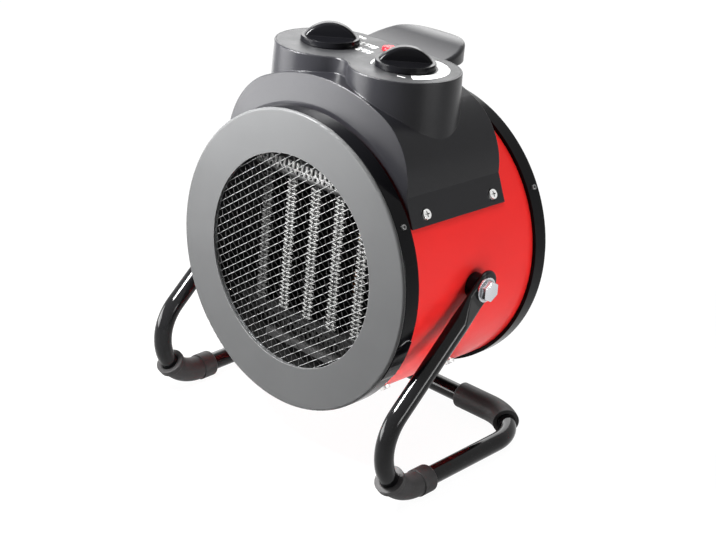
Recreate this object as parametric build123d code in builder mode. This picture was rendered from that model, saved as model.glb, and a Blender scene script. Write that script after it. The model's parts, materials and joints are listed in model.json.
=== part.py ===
from build123d import *
from math import asin, cos, degrees, radians, sin, sqrt, tan
import os

# A drum-shaped forced air heater that tilts on a bent tube stand.
# World frame: +Z up, the air leaves towards -Y, the floor is Z = 0.
# The drum has its own frame: x to the right, y to the rear along its axis, z up.

os.makedirs("parts", exist_ok=True)

# ---------------------------------------------------------------- driving dimensions (mm, degrees)
# Drum and its end rims
drum_radius = 104.5
drum_wall = 1.0
drum_front = 75.0  # pivot to the front face
drum_rear = 77.4  # pivot to the rear face
rim_rise = 3.0  # the rims' skin above the drum's wall
rim_sheet = 1.2
front_band = 15.4
rear_band = 12.7
face_edge = 2.0  # how far the face ring wraps round the drum's front edge
face_width = 30.9  # the face ring's, from the rims' skin to the outlet
outlet_lip = 1.8

# Clearances
seat_gap = 0.2
screw_gap = 0.2
running_gap = 0.08
shaft_gap = 0.05

# Stand
pivot_height = 141.7
pivot_above_axis = 1.1
drum_tilt = 2.15  # nose up, at rest
tube_radius = 6.75
tube_wall = 1.5
stand_off = 8.9  # the drum's wall to the middle of the stand tube
leg_slope = 41.8
foot_reach = 90.2  # pivot to the foremost point of the leg's centre line
rear_reach = 69.2
rear_bend = 36.5
floor_height = 9.4  # of the tube's centre line
sleeve_radius = 9.9
sleeve_waist = 9.2
sleeve_bore_gap = 0.15
front_sleeve_run = 12.5  # its straight part, behind the foot bend
front_sleeve_mouth = 36.0  # degrees round the foot bend
mouth_length = 4.0
mouth_rise = 0.8
rear_sleeve_run = 28.4  # its straight part, up to the rear bend
rear_sleeve_turn = 38.0  # degrees round the rear bend
sleeve_round = 1.5
eye_thickness = 4.0
eye_width = 18.5
eye_round = 1.9
eye_overhang = 4.5  # the round end's centre beyond the pivot
eye_before = 12.0
eye_blend = 18.0

# Pivot hardware
bolt_radius = 4.0
bolt_flange_radius = 8.8
bolt_flange = 1.4
bolt_head_flats = 13.0
bolt_head = 4.6
bolt_inner_end = 92.0
pivot_washer_radius = 9.0
pivot_plate_side = 24.0
pivot_plate_sheet = 3.0
nut_height = 6.5

# Control housing: an arched saddle, a two-lobed tower and a side flange
arch_half_width = 85.8
hood_height = 24.0  # crown above the drum's wall
arch_top_radius = 135.0
arch_corner_radius = 52.0
housing_front = 54.0
housing_rear = 38.5
housing_wall = 2.5
flange_sheet = 1.8
flange_low = 28.0
visor_rise = 1.9  # the visor's lip above the rims
visor_lean = 3.3  # the lip ahead of the hood's crown
tower_rise = 10.8  # the deck above the hood's crown
lobe_radius = 39.0
lobe_spread = 35.5
lobe_back = -12.4
waist_radius = 13.3
tower_draft = 2.0
tower_depth = 48.0
deck_sheet = 2.0
deck_rim = 1.1
deck_ledge = 2.2
tower_round = 0.8

# Knobs, switches and lamp
knob_radius = 21.0
knob_skirt = 4.0
knob_draft = 4.0
knob_rise = 14.5  # above the control plate
knob_lift = 0.6
knob_recess_radius = 16.0
knob_recess = 2.2
knob_turn = 45.0
grip_thickness = 9.0
grip_round = 2.2
stem_radius = 3.0
neck_radius = 5.0
neck_rise = 1.4
switch_length = 32.0
switch_width = 27.0
switch_depth = 17.0
thermostat_radius = 16.0
thermostat_depth = 13.0
lamp_radius = 4.4
lamp_flange = 5.2
lamp_rise = 2.2
lamp_round = 1.8
lamp_length = 18.0
lamp_back = 10.5

# Carrying handle
handle_radius = 38.5
handle_centre = 32.0
handle_rise = 6.3  # its top above the deck
handle_drop = 6.5  # its underside below the deck
handle_root_drop = 0.6
handle_wall = 3.4
handle_hollow = 3.0
handle_root_depth = 6.0
handle_root_half = 28.0
handle_round = 1.6
handle_edge = 2.5
handle_screw_spread = 22.0

# Outlet mesh
mesh_hold = 7.4  # the mesh beyond the outlet's edge
mesh_sheet = 1.2
mesh_pitch = 8.5
mesh_wire = 1.3
mesh_turn = 36.0
clamp_sheet = 1.5
clamp_setback = 1.4  # from the outlet's edge

# Heating element
element_count = 5
element_pitch = 23.5
element_setback = 23.0  # behind the front face
element_depth = 16.0
element_height = 100.0
element_tube = 2.8
element_tube_wall = 0.6
fin_width = 4.0
fin_pitch = 4.0
fin_sheet = 0.7
stone_length = 23.0
stone_count = 4
insulator_sheet = 1.6
rail_sheet = 1.2
rail_lip = 9.5
rail_tooth = 2.2
rail_overhang = 2.0
crossbar_inset = 9.9  # its underside above the duct's lowest point
crossbar_height = 5.0
crossbar_flange = 10.0

# Air duct
duct_sheet = 0.8
duct_bracket_length = 14.0
duct_bracket_width = 12.0
duct_bracket_sheet = 1.2
duct_bracket_front = -42.0
duct_bracket_rear = 27.0

# Fan and motor
fan_inset = 2.6  # inside the outlet's edge
fan_hub_radius = 15.0
fan_hub_length = 12.0
fan_depth = 18.0
blade_count = 7
blade_sheet = 1.8
blade_root_chord = 17.0
blade_tip_chord = 24.0
blade_root_pitch = 48.0
blade_tip_pitch = 26.0
guard_clearance = 8.0
blade_tip_gap = 4.0
shroud_sheet = 1.5
shroud_collar = 18.0
shroud_setback = 4.0
spider_sheet = 1.5
spider_ring = 29.0
spider_arms = 4
spider_arm = 14.0
spider_screw_inset = 2.5  # outside the shroud's collar
shaft_radius = 2.0
stack_side = 52.0
stack_depth = 16.0
stack_drop = 44.0
stack_limb = 6.0
rotor_radius = 14.0
rotor_gap = 0.4
coil_length = 28.0
coil_wall = 6.0
bridge_rise = 12.0
bridge_width = 14.0
bridge_sheet = 2.0
bridge_leg = 6.0
bush_radius = 4.5
bush_length = 7.0
clip_radius = 5.0
clip_sheet = 1.2

# Rear guard
guard_sheet = 1.3
guard_hub = 20.0
guard_gap = 8.0
guard_bar = 3.2
guard_rows = 7
guard_spokes = 6
rear_lip = 8.0

# Screws
pan_head_radius = 4.0
pan_head = 2.4
pan_shank_radius = 2.0
pan_length = 9.0
small_head_radius = 2.1
small_head = 1.3
small_shank_radius = 1.4
small_length = 5.0
head_taper = 12.0
cross_slot = 0.9
cross_depth = 0.9
housing_screw_angle = 32.0
lower_screw_angle = -48.0
rim_screw_angle = 30.0
rim_screw_count = 3

# Cable inlet and wiring parts
gland_setback = 23.8  # from the hood's side
gland_above_drum = 1.5
gland_bore = 3.8
gland_thread_radius = 7.5
gland_flange_radius = 10.0
gland_flange = 2.5
gland_nose = 9.0
gland_taper = 10.0
gland_inner = 8.0
terminal_x = -48.0
terminal_y = 10.0
terminal_length = 26.0
terminal_width = 18.0
terminal_height = 12.0
cutout_radius = 8.0
cutout_height = 7.0
lead_slot_width = 44.0
lead_slot_length = 20.0
lead_radius = 1.3
lead_bend = 3.0
lead_x = 16.0
lead_y = -4.0
lead_rise = 3.8  # the runs inside the housing above the terminal block
lead_hole = 3.0

# ---------------------------------------------------------------- places worked out from them
rim_radius = drum_radius + rim_rise
outlet_radius = rim_radius - face_width
stand_half_width = drum_radius + stand_off
arch_top = drum_radius + hood_height
deck_height = arch_top + tower_rise
visor_radius = rim_radius + visor_rise
visor_front = -housing_front - visor_lean
rear_bend_start = stand_half_width - rear_bend
foot_corner = (pivot_height - floor_height) / tan(radians(leg_slope))
foot_turn = 180.0 - leg_slope
foot_bend = (foot_corner - foot_reach) / (tan(radians(foot_turn / 2)) - 1)
pivot_y = (foot_reach + tube_radius - rear_reach - sleeve_radius) / 2

rise = Vector(0, sin(radians(drum_tilt)), cos(radians(drum_tilt)))
pivot = Vector(0, pivot_y, pivot_height)
drum = Plane(origin=pivot - rise * pivot_above_axis, x_dir=(1, 0, 0), z_dir=rise)
drum_axis = Axis(drum.origin, drum.y_dir)

face_front = -drum_front
lip_rear = face_front + outlet_lip
mesh_front = lip_rear + seat_gap
mesh_rear = mesh_front + mesh_sheet
mesh_radius = outlet_radius + mesh_hold
clamp_bore = outlet_radius + clamp_setback
clamp_front = face_front + rim_sheet + seat_gap
clamp_rear = mesh_rear + seat_gap + clamp_sheet
clamp_radius = mesh_radius + seat_gap + clamp_sheet
duct_inner = clamp_radius + seat_gap
duct_outer = duct_inner + duct_sheet
crossbar_drop = duct_inner - crossbar_inset
guard_rear = drum_rear - rim_sheet - seat_gap
guard_front = guard_rear - guard_sheet
fan_rear = guard_front - guard_clearance
fan_front = fan_rear - fan_depth
fan_radius = outlet_radius - fan_inset
shroud_radius = fan_radius + blade_tip_gap
spider_screw_radius = shroud_radius + shroud_sheet + spider_screw_inset
shroud_front = fan_front - shroud_setback - shroud_sheet
spider_front = shroud_front - seat_gap - spider_sheet
motor_rear = spider_front - seat_gap
stack_rear = motor_rear - bridge_rise - seat_gap
stack_front = stack_rear - stack_depth
motor_front = stack_front - seat_gap - bridge_rise
element_front = face_front + element_setback
element_rear = element_front + element_depth
element_middle = element_front + element_depth / 2
element_columns = [(i - (element_count - 1) / 2) * element_pitch for i in range(element_count)]
half_height = element_height / 2
tube_half = element_tube / 2
rail_inner = half_height + insulator_sheet + 2 * seat_gap
rail_outer = rail_inner + rail_sheet
rail_crest = rail_outer + rail_lip
drum_inner = drum_radius - drum_wall
drum_seat = drum_radius + seat_gap
plate_underside = deck_height - deck_sheet
flange_radius = drum_seat + flange_sheet
skirt_x = flange_radius * cos(radians(flange_low))
skirt_z = flange_radius * sin(radians(flange_low))
handle_top = deck_height + handle_rise
handle_underside = deck_height - handle_drop
handle_root_top = deck_height - handle_root_drop
handle_root_low = arch_top + 2 * seat_gap
tower_inset = deck_rim + deck_ledge
wall_inside = lobe_back + lobe_radius - tower_inset
eye_inner = stand_half_width - eye_thickness / 2
eye_outer = stand_half_width + eye_thickness / 2
gland_ring = drum_radius + gland_flange_radius + gland_above_drum
gland_x = gland_setback - arch_half_width
gland_z = sqrt(gland_ring**2 - gland_x**2)
knob_places = {"selector": -lobe_spread, "thermostat": lobe_spread}


# ---------------------------------------------------------------- planes and shared forms
def at(x, y, z):
    """A point given in the drum's frame."""
    return drum.from_local_coords(Vector(x, y, z))


def across(depth, x=0, z=0):
    """Square to the drum's axis: its x is right, its y is up, and it faces the front."""
    return Plane(at(x, depth, z), x_dir=drum.x_dir, z_dir=-drum.y_dir)


def behind(depth, x, z):
    """Square to the drum's axis as well, but it faces the rear and its x is left."""
    return Plane(at(x, depth, z), x_dir=-drum.x_dir, z_dir=drum.y_dir)


def level(height, x=0, y=0):
    """Parallel to the control plate: its x is right, its y is to the rear, and it faces up."""
    return Plane(at(x, y, height), x_dir=drum.x_dir, z_dir=drum.z_dir)


def side(x, y=0, z=0):
    """Square to the pivot line: its x is to the rear, its y is up, and it faces right."""
    return Plane(at(x, y, z), x_dir=drum.y_dir, z_dir=drum.x_dir)


def outwards(angle):
    """The direction away from the drum's axis at an angle above its right side."""
    return drum.x_dir * cos(radians(angle)) + drum.z_dir * sin(radians(angle))


def radial(angle, depth, radius):
    """On a round wall about the drum's axis, facing outwards: its x is to the rear."""
    origin = drum.origin + outwards(angle) * radius + drum.y_dir * depth
    return Plane(origin, x_dir=drum.y_dir, z_dir=outwards(angle))


def edgewise(angle, depth, radius):
    """Square to a round wall about the drum's axis: its x is to the rear and its y is outwards."""
    origin = drum.origin + outwards(angle) * radius + drum.y_dir * depth
    return Plane(origin, x_dir=drum.y_dir, z_dir=outwards(angle - 90))


def save(piece, name):
    """Label a finished piece and write it."""
    piece.part.label = name
    export_step(piece.part, f"parts/{name}.step")


def round_wall(front, rear, outer, inner):
    """A round wall about the drum's axis between two depths."""
    with BuildSketch(across(rear)) as ring:
        Circle(outer)
        Circle(inner, mode=Mode.SUBTRACT)
    extrude(ring.sketch, amount=rear - front)


def round_cut(front, rear, radius):
    """Clear a round space about the drum's axis between two depths."""
    with BuildSketch(across(rear)) as disc:
        Circle(radius)
    extrude(disc.sketch, amount=rear - front, mode=Mode.SUBTRACT)


def hole(plane, radius, depth):
    """Clear a round hole that goes down from a plane, with a little extra above it."""
    with BuildSketch(plane.offset(seat_gap)) as disc:
        Circle(radius)
    extrude(disc.sketch, amount=-depth - seat_gap, mode=Mode.SUBTRACT)


def pan_screw(plane, head_radius, head, shank_radius, length):
    """A pan head screw with a cross recess: the plane is the seat under its head."""
    with BuildSketch(plane) as seat_disc:
        Circle(head_radius)
    extrude(seat_disc.sketch, amount=head, taper=head_taper)
    with BuildSketch(plane.offset(head)) as recess:
        Rectangle(head_radius, cross_slot)
        Rectangle(cross_slot, head_radius)
    extrude(recess.sketch, amount=-cross_depth, mode=Mode.SUBTRACT)
    with BuildSketch(plane) as shank:
        Circle(shank_radius)
    extrude(shank.sketch, amount=-length)


def arch_profile(inset, foot_x, foot_z):
    """The saddle's arch, drawn in by a wall: a wide crown, two tighter corners, straight skirts."""
    half = arch_half_width - inset
    crown_z = arch_top - arch_top_radius
    reach = arch_top_radius - arch_corner_radius
    corner_x = arch_half_width - arch_corner_radius
    corner_z = crown_z + sqrt(reach**2 - corner_x**2)
    lean = degrees(asin(corner_x / reach))
    with BuildLine() as outline:
        CenterArc((0, crown_z), arch_top_radius - inset, 90 - lean, 2 * lean)
        CenterArc((corner_x, corner_z), arch_corner_radius - inset, 0, 90 - lean)
        CenterArc((-corner_x, corner_z), arch_corner_radius - inset, 90 + lean, 90 - lean)
        Line((half, corner_z), (foot_x, foot_z))
        Line((foot_x, foot_z), (-foot_x, foot_z))
        Line((-foot_x, foot_z), (-half, corner_z))
    make_face(outline.edges())


def tower_outline(inset):
    """Two round lobes, joined straight at the rear and by a hollow waist in front."""
    radius = lobe_radius - inset
    hollow = waist_radius + inset
    hollow_y = lobe_back - sqrt((radius + hollow) ** 2 - lobe_spread**2)
    share = radius / (radius + hollow)
    meet_x = lobe_spread * (1 - share)
    meet_y = lobe_back + (hollow_y - lobe_back) * share
    with Locations((-lobe_spread, lobe_back), (lobe_spread, lobe_back)):
        Circle(radius)
    with Locations((0, lobe_back)):
        Rectangle(2 * lobe_spread, radius, align=(Align.CENTER, Align.MIN))
    Polygon((-lobe_spread, lobe_back), (lobe_spread, lobe_back), (meet_x, meet_y), (-meet_x, meet_y), align=None)
    with Locations((0, hollow_y)):
        Circle(hollow, mode=Mode.SUBTRACT)


# ---------------------------------------------------------------- stand
def leg_point(mirror, distance):
    """A point on a leg's straight run, measured down from the pivot."""
    return Vector(
        mirror * stand_half_width,
        pivot_y - distance * cos(radians(leg_slope)),
        pivot_height - distance * sin(radians(leg_slope)),
    )


def leg_plane(mirror, distance):
    """Square to a leg's straight run: its x is the world's x."""
    down = Vector(0, -cos(radians(leg_slope)), -sin(radians(leg_slope)))
    return Plane(leg_point(mirror, distance), x_dir=(1, 0, 0), z_dir=down)


def stand_corners():
    """The stand's centre line, as the corners of its straight runs."""
    half = stand_half_width
    foot = pivot_y - foot_corner
    rear = pivot_y + rear_reach
    return [
        leg_point(1, eye_before + eye_blend),
        Vector(half, foot, floor_height),
        Vector(half, rear, floor_height),
        Vector(-half, rear, floor_height),
        Vector(-half, foot, floor_height),
        leg_point(-1, eye_before + eye_blend),
    ]


with BuildPart() as stand_tube:
    with BuildLine() as stand_route:
        FilletPolyline(*stand_corners(), radius=[foot_bend, rear_bend, rear_bend, foot_bend])
    with BuildSketch(leg_plane(1, eye_before + eye_blend)):
        Circle(tube_radius)
        Circle(tube_radius - tube_wall, mode=Mode.SUBTRACT)
    sweep(path=stand_route.wire())
    for mirror in (1, -1):
        # The tube's end is pressed flat, with a round end beyond the pivot bolt.
        with BuildSketch(leg_plane(mirror, -eye_overhang)):
            RectangleRounded(eye_thickness, eye_width, eye_round)
            Rectangle(eye_thickness, eye_width, align=(Align.CENTER, Align.MIN), mode=Mode.INTERSECT)
        revolve(axis=Axis(leg_point(mirror, -eye_overhang), (1, 0, 0)))
        with BuildSketch(leg_plane(mirror, -eye_overhang)):
            RectangleRounded(eye_thickness, eye_width, eye_round)
        extrude(amount=eye_overhang + eye_before)
        with BuildSketch(leg_plane(mirror, eye_before)):
            RectangleRounded(eye_thickness, eye_width, eye_round)
        with BuildSketch(leg_plane(mirror, eye_before + eye_blend)):
            RectangleRounded(2 * tube_radius, 2 * tube_radius, tube_radius - running_gap)
        loft()
        with BuildSketch(Plane(leg_point(mirror, 0), z_dir=(1, 0, 0))):
            Circle(bolt_radius + running_gap)
        extrude(amount=eye_thickness, both=True, mode=Mode.SUBTRACT)
save(stand_tube, "stand_tube")


def foot_point(mirror, angle):
    """A point on a foot bend, by its angle below the foremost point."""
    centre_y = pivot_y - foot_reach + foot_bend
    centre_z = floor_height + foot_bend
    return Vector(
        mirror * stand_half_width,
        centre_y - foot_bend * cos(radians(angle)),
        centre_z - foot_bend * sin(radians(angle)),
    )


def foot_plane(mirror, angle):
    """Square to the foot bend, facing along the tube towards the rear."""
    along = Vector(0, sin(radians(angle)), -cos(radians(angle)))
    return Plane(foot_point(mirror, angle), x_dir=(1, 0, 0), z_dir=along)


def bore_ring(radius):
    """A rubber sleeve's section on the tube."""
    Circle(radius)
    Circle(tube_radius + sleeve_bore_gap, mode=Mode.SUBTRACT)


def rear_point(mirror, angle):
    """A point on a rear bend, by its angle from the bend's start on the rear run."""
    return Vector(
        mirror * (rear_bend_start + rear_bend * sin(radians(angle))),
        pivot_y + rear_reach - rear_bend * (1 - cos(radians(angle))),
        floor_height,
    )


mouth_turn = degrees(mouth_length / foot_bend)
for mirror, hand in ((1, "right"), (-1, "left")):
    with BuildPart() as front_sleeve:
        with BuildLine() as bend:
            ThreePointArc(
                foot_point(mirror, front_sleeve_mouth),
                foot_point(mirror, (front_sleeve_mouth + 90) / 2),
                foot_point(mirror, 90),
            )
        with BuildSketch(foot_plane(mirror, front_sleeve_mouth)):
            bore_ring(sleeve_waist)
        sweep(path=bend.wire())
        with BuildLine() as mouth:
            ThreePointArc(
                foot_point(mirror, front_sleeve_mouth),
                foot_point(mirror, front_sleeve_mouth + mouth_turn / 2),
                foot_point(mirror, front_sleeve_mouth + mouth_turn),
            )
        with BuildSketch(foot_plane(mirror, front_sleeve_mouth)):
            bore_ring(sleeve_radius + mouth_rise)
        sweep(path=mouth.wire())
        with BuildSketch(foot_plane(mirror, 90)):
            bore_ring(sleeve_radius)
        extrude(amount=front_sleeve_run)
        fillet(edges().filter_by(GeomType.CIRCLE).group_by(Axis.Y)[-1].sort_by(SortBy.RADIUS)[-1], sleeve_round)
        # A moulded flat where the sleeve stands on the floor.
        with BuildSketch(Plane.XY):
            with Locations(foot_point(mirror, 90)):
                Rectangle(4 * sleeve_radius, 8 * sleeve_radius)
        extrude(amount=-sleeve_radius, mode=Mode.SUBTRACT)
    save(front_sleeve, f"front_sleeve_{hand}")

    with BuildPart() as rear_sleeve:
        bend_start = Plane(rear_point(mirror, 0), z_dir=(mirror, 0, 0))
        with BuildSketch(bend_start):
            bore_ring(sleeve_radius)
        extrude(amount=-rear_sleeve_run)
        with BuildLine() as rear_arc:
            ThreePointArc(
                rear_point(mirror, 0),
                rear_point(mirror, rear_sleeve_turn / 2),
                rear_point(mirror, rear_sleeve_turn),
            )
        with BuildSketch(bend_start):
            bore_ring(sleeve_radius)
        sweep(path=rear_arc.wire())
        rings = edges().filter_by(GeomType.CIRCLE).sort_by(SortBy.RADIUS)[-3:].sort_by(Axis.Y)
        inner_rings = rings[1:].sort_by(Axis.X)
        fillet([rings[0], inner_rings[0 if mirror > 0 else -1]], sleeve_round)
        with BuildSketch(Plane.XY):
            with Locations(rear_point(mirror, 0)):
                Rectangle(2 * stand_half_width, 4 * sleeve_radius)
        extrude(amount=-sleeve_radius, mode=Mode.SUBTRACT)
    save(rear_sleeve, f"rear_sleeve_{hand}")

# ---------------------------------------------------------------- pivot hardware
for mirror, hand in ((1, "right"), (-1, "left")):
    facing = (mirror, 0, 0)
    with BuildPart() as pivot_bolt:
        flange_seat = pivot + Vector(mirror * (eye_outer + seat_gap), 0, 0)
        with BuildSketch(Plane(flange_seat, z_dir=facing)):
            Circle(bolt_flange_radius)
        extrude(amount=bolt_flange)
        with BuildSketch(Plane(flange_seat, z_dir=facing).offset(bolt_flange)):
            RegularPolygon(bolt_head_flats / 2, 6, major_radius=False)
        extrude(amount=bolt_head)
        chamfer(faces().sort_by(Axis.X)[-1 if mirror > 0 else 0].edges(), bolt_flange / 2)
        with BuildSketch(Plane(flange_seat, z_dir=facing)):
            Circle(bolt_radius)
        extrude(amount=-(eye_outer + seat_gap - bolt_inner_end))
    save(pivot_bolt, f"pivot_bolt_{hand}")

    with BuildPart() as pivot_washer:
        washer_face = pivot + Vector(mirror * (eye_inner - seat_gap), 0, 0)
        with BuildSketch(Plane(washer_face, z_dir=facing)):
            Circle(pivot_washer_radius)
            Circle(bolt_radius + screw_gap, mode=Mode.SUBTRACT)
        extrude(amount=-(eye_inner - seat_gap - drum_inner))
        round_cut(-2 * pivot_washer_radius, 2 * pivot_washer_radius, drum_seat)
    save(pivot_washer, f"pivot_washer_{hand}")

plate_reach = sqrt(drum_inner**2 - (pivot_plate_side / 2 + pivot_above_axis) ** 2) - seat_gap
nut_reach = plate_reach - pivot_plate_sheet - seat_gap
with BuildPart() as pivot_plates:
    for mirror in (1, -1):
        with BuildSketch(side(mirror * plate_reach, 0, pivot_above_axis)):
            Rectangle(pivot_plate_side, pivot_plate_side)
            Circle(bolt_radius + screw_gap, mode=Mode.SUBTRACT)
        extrude(amount=-mirror * pivot_plate_sheet)
save(pivot_plates, "pivot_plates")

with BuildPart() as pivot_nuts:
    for mirror in (1, -1):
        with BuildSketch(side(mirror * nut_reach, 0, pivot_above_axis)):
            RegularPolygon(bolt_head_flats / 2, 6, major_radius=False)
            Circle(bolt_radius + shaft_gap, mode=Mode.SUBTRACT)
        extrude(amount=-mirror * nut_height)
save(pivot_nuts, "pivot_nuts")

# ---------------------------------------------------------------- drum shell and rims
housing_screw_places = [
    (angle, depth)
    for angle in (housing_screw_angle, 180 - housing_screw_angle)
    for depth in (duct_bracket_front, duct_bracket_rear)
]
lower_screw_places = [
    (angle, depth)
    for angle in (lower_screw_angle, 180 - lower_screw_angle)
    for depth in (duct_bracket_front, duct_bracket_rear)
]
shell_front = face_front + rim_sheet + seat_gap
shell_rear = drum_rear - rim_sheet - seat_gap
front_band_mid = face_front + (front_band + face_edge) / 2
rear_band_mid = drum_rear - rear_band / 2
spider_angles = [360 / spider_arms * (i + 0.5) for i in range(spider_arms)]
rim_screw_angles = [rim_screw_angle + 360 / rim_screw_count * i for i in range(rim_screw_count)]

with BuildPart() as drum_shell:
    round_wall(shell_front, shell_rear, drum_radius, drum_inner)
    for angle, depth in housing_screw_places + lower_screw_places:
        hole(radial(angle, depth, drum_radius), pan_shank_radius + screw_gap, 4 * drum_wall)
    for angle in rim_screw_angles:
        for depth in (front_band_mid, rear_band_mid):
            hole(radial(angle, depth, drum_radius), small_shank_radius + screw_gap, 4 * drum_wall)
    for mirror in (1, -1):
        with BuildSketch(side(mirror * drum_inner * cos(radians(leg_slope)), 0, pivot_above_axis)):
            Circle(bolt_radius + screw_gap)
        extrude(amount=mirror * drum_radius, mode=Mode.SUBTRACT)
    with BuildSketch(level(duct_outer)):
        RectangleRounded(lead_slot_width, lead_slot_length, lead_radius)
    extrude(amount=drum_radius, mode=Mode.SUBTRACT)
save(drum_shell, "drum_shell")


def rim_channel(front, rear):
    """A rolled channel round the drum: a skin that stands proud, with a folded edge each side."""
    skin = rim_radius - rim_sheet
    with BuildSketch(side(0)) as section:
        Polygon(
            (front, drum_seat),
            (front, rim_radius),
            (rear, rim_radius),
            (rear, drum_seat),
            (rear - rim_sheet, drum_seat),
            (rear - rim_sheet, skin),
            (front + rim_sheet, skin),
            (front + rim_sheet, drum_seat),
            align=None,
        )
        fillet(vertices().group_by(Axis.Y)[-1], rim_sheet / 2)
    revolve(section.sketch, axis=drum_axis)


with BuildPart() as front_rim:
    rim_channel(face_front + face_edge + seat_gap, face_front + front_band)
    for angle in rim_screw_angles:
        hole(radial(angle, front_band_mid, rim_radius), small_shank_radius + screw_gap, small_length)
save(front_rim, "front_rim")

with BuildPart() as face_ring:
    with BuildSketch(side(0)):
        with BuildLine():
            Polyline(
                (face_front + face_edge, rim_radius),
                (face_front, rim_radius),
                (face_front, outlet_radius),
                (lip_rear, outlet_radius),
                (lip_rear, outlet_radius + rim_sheet),
                (face_front + rim_sheet, outlet_radius + rim_sheet),
                (face_front + rim_sheet, rim_radius - rim_sheet),
                (face_front + face_edge, rim_radius - rim_sheet),
                close=True,
            )
        make_face()
        front_corners = vertices().filter_by(lambda v: abs(v.X - face_front) < seat_gap)
        fillet(front_corners.sort_by(Axis.Y)[-1], face_edge * 0.9)
        fillet(front_corners.sort_by(Axis.Y)[0], outlet_lip / 2)
    revolve(axis=drum_axis)
save(face_ring, "face_ring")

with BuildPart() as rear_rim:
    with BuildSketch(side(0)):
        with BuildLine():
            Polyline(
                (drum_rear - rear_band, drum_seat),
                (drum_rear - rear_band, rim_radius),
                (drum_rear, rim_radius),
                (drum_rear, drum_radius - rear_lip),
                (drum_rear - rim_sheet, drum_radius - rear_lip),
                (drum_rear - rim_sheet, rim_radius - rim_sheet),
                (drum_rear - rear_band + rim_sheet, rim_radius - rim_sheet),
                (drum_rear - rear_band + rim_sheet, drum_seat),
                close=True,
            )
        make_face()
        outer_corners = vertices().group_by(Axis.Y)[-1]
        fillet(outer_corners.sort_by(Axis.X)[-1], face_edge)
        fillet(outer_corners.sort_by(Axis.X)[0], rim_sheet / 2)
    revolve(axis=drum_axis)
    for angle in rim_screw_angles:
        hole(radial(angle, rear_band_mid, rim_radius), small_shank_radius + screw_gap, small_length)
save(rear_rim, "rear_rim")

with BuildPart() as small_screws:
    for angle in rim_screw_angles:
        for depth in (front_band_mid, rear_band_mid):
            seat = radial(angle, depth, rim_radius + running_gap)
            pan_screw(seat, small_head_radius, small_head, small_shank_radius, small_length)
    for angle in spider_angles:
        place = Vector(spider_screw_radius, 0).rotate(Axis.Z, angle)
        seat = across(spider_front - running_gap, place.X, place.Y)
        pan_screw(seat, small_head_radius, small_head, small_shank_radius, small_length)
save(small_screws, "small_screws")

with BuildPart() as drum_screws:
    for angle, depth in housing_screw_places:
        seat = radial(angle, depth, flange_radius + running_gap)
        pan_screw(seat, pan_head_radius, pan_head, pan_shank_radius, pan_length)
    for angle, depth in lower_screw_places:
        seat = radial(angle, depth, drum_radius + running_gap)
        pan_screw(seat, pan_head_radius, pan_head, pan_shank_radius, pan_length)
save(drum_screws, "drum_screws")

# ---------------------------------------------------------------- outlet mesh and its clamp
cell_side = mesh_pitch - mesh_wire
cell_rows = int(2 * clamp_bore / mesh_pitch)
cell_steps = [(i - cell_rows / 2) * mesh_pitch for i in range(cell_rows + 1)]
cell_reach = clamp_bore - cell_side / sqrt(2)
mesh_cells = [Vector(x, y) for x in cell_steps for y in cell_steps if Vector(x, y).length < cell_reach]
with BuildPart() as outlet_mesh:
    with BuildSketch(across(mesh_rear)):
        Circle(mesh_radius)
        with Locations(*[cell.rotate(Axis.Z, mesh_turn) for cell in mesh_cells]):
            Rectangle(cell_side, cell_side, rotation=mesh_turn, mode=Mode.SUBTRACT)
    extrude(amount=mesh_sheet)
save(outlet_mesh, "outlet_mesh")

with BuildPart() as mesh_clamp:
    round_wall(clamp_front, clamp_rear, clamp_radius, mesh_radius + seat_gap)
    round_wall(clamp_rear - clamp_sheet, clamp_rear, clamp_radius, clamp_bore)
save(mesh_clamp, "mesh_clamp")

# ---------------------------------------------------------------- air duct and its brackets
with BuildPart() as air_duct:
    round_wall(clamp_front, shroud_front - seat_gap, duct_outer, duct_inner)
    for x in (-lead_x, lead_x):
        hole(level(duct_outer, x, element_middle), lead_hole, duct_outer - rail_crest)
save(air_duct, "air_duct")

strap_foot = duct_outer + seat_gap
strap_head = sqrt((drum_inner - seat_gap) ** 2 - (duct_bracket_width / 2) ** 2)
strap_height = strap_head - strap_foot
with BuildPart() as duct_brackets:
    for angle, depth in housing_screw_places + lower_screw_places:
        # A bent strap: one flange on the duct, a web, and one flange under the drum's wall.
        with BuildSketch(edgewise(angle, depth, strap_foot).offset(-duct_bracket_width / 2)):
            with Locations((0, strap_height / 2)):
                Rectangle(duct_bracket_length, strap_height)
            with Locations((duct_bracket_sheet, strap_height / 2)):
                inner_height = strap_height - 2 * duct_bracket_sheet
                Rectangle(duct_bracket_length, inner_height, mode=Mode.SUBTRACT)
        extrude(amount=duct_bracket_width)
        hole(radial(angle, depth, strap_head), pan_shank_radius + screw_gap, 2 * duct_bracket_sheet)
save(duct_brackets, "duct_brackets")

# ---------------------------------------------------------------- heating element


def fin_strip(wall, facing):
    """One corrugated strip, folded to and fro between a tube's wall and its own free edge."""
    folds = 2 * int(element_height / fin_pitch)
    step = (element_height - 2 * seat_gap) / folds
    reach = facing * (fin_width - fin_sheet)
    near = [(wall + reach * (i % 2), i * step + seat_gap - half_height) for i in range(folds + 1)]
    far = [(x + facing * fin_sheet, z) for x, z in reversed(near)]
    with BuildLine() as outline:
        Polyline(*near, *far, close=True)
    with BuildSketch(across(element_rear)) as strip:
        make_face(outline.edges())
    extrude(strip.sketch, amount=element_depth)


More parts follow.
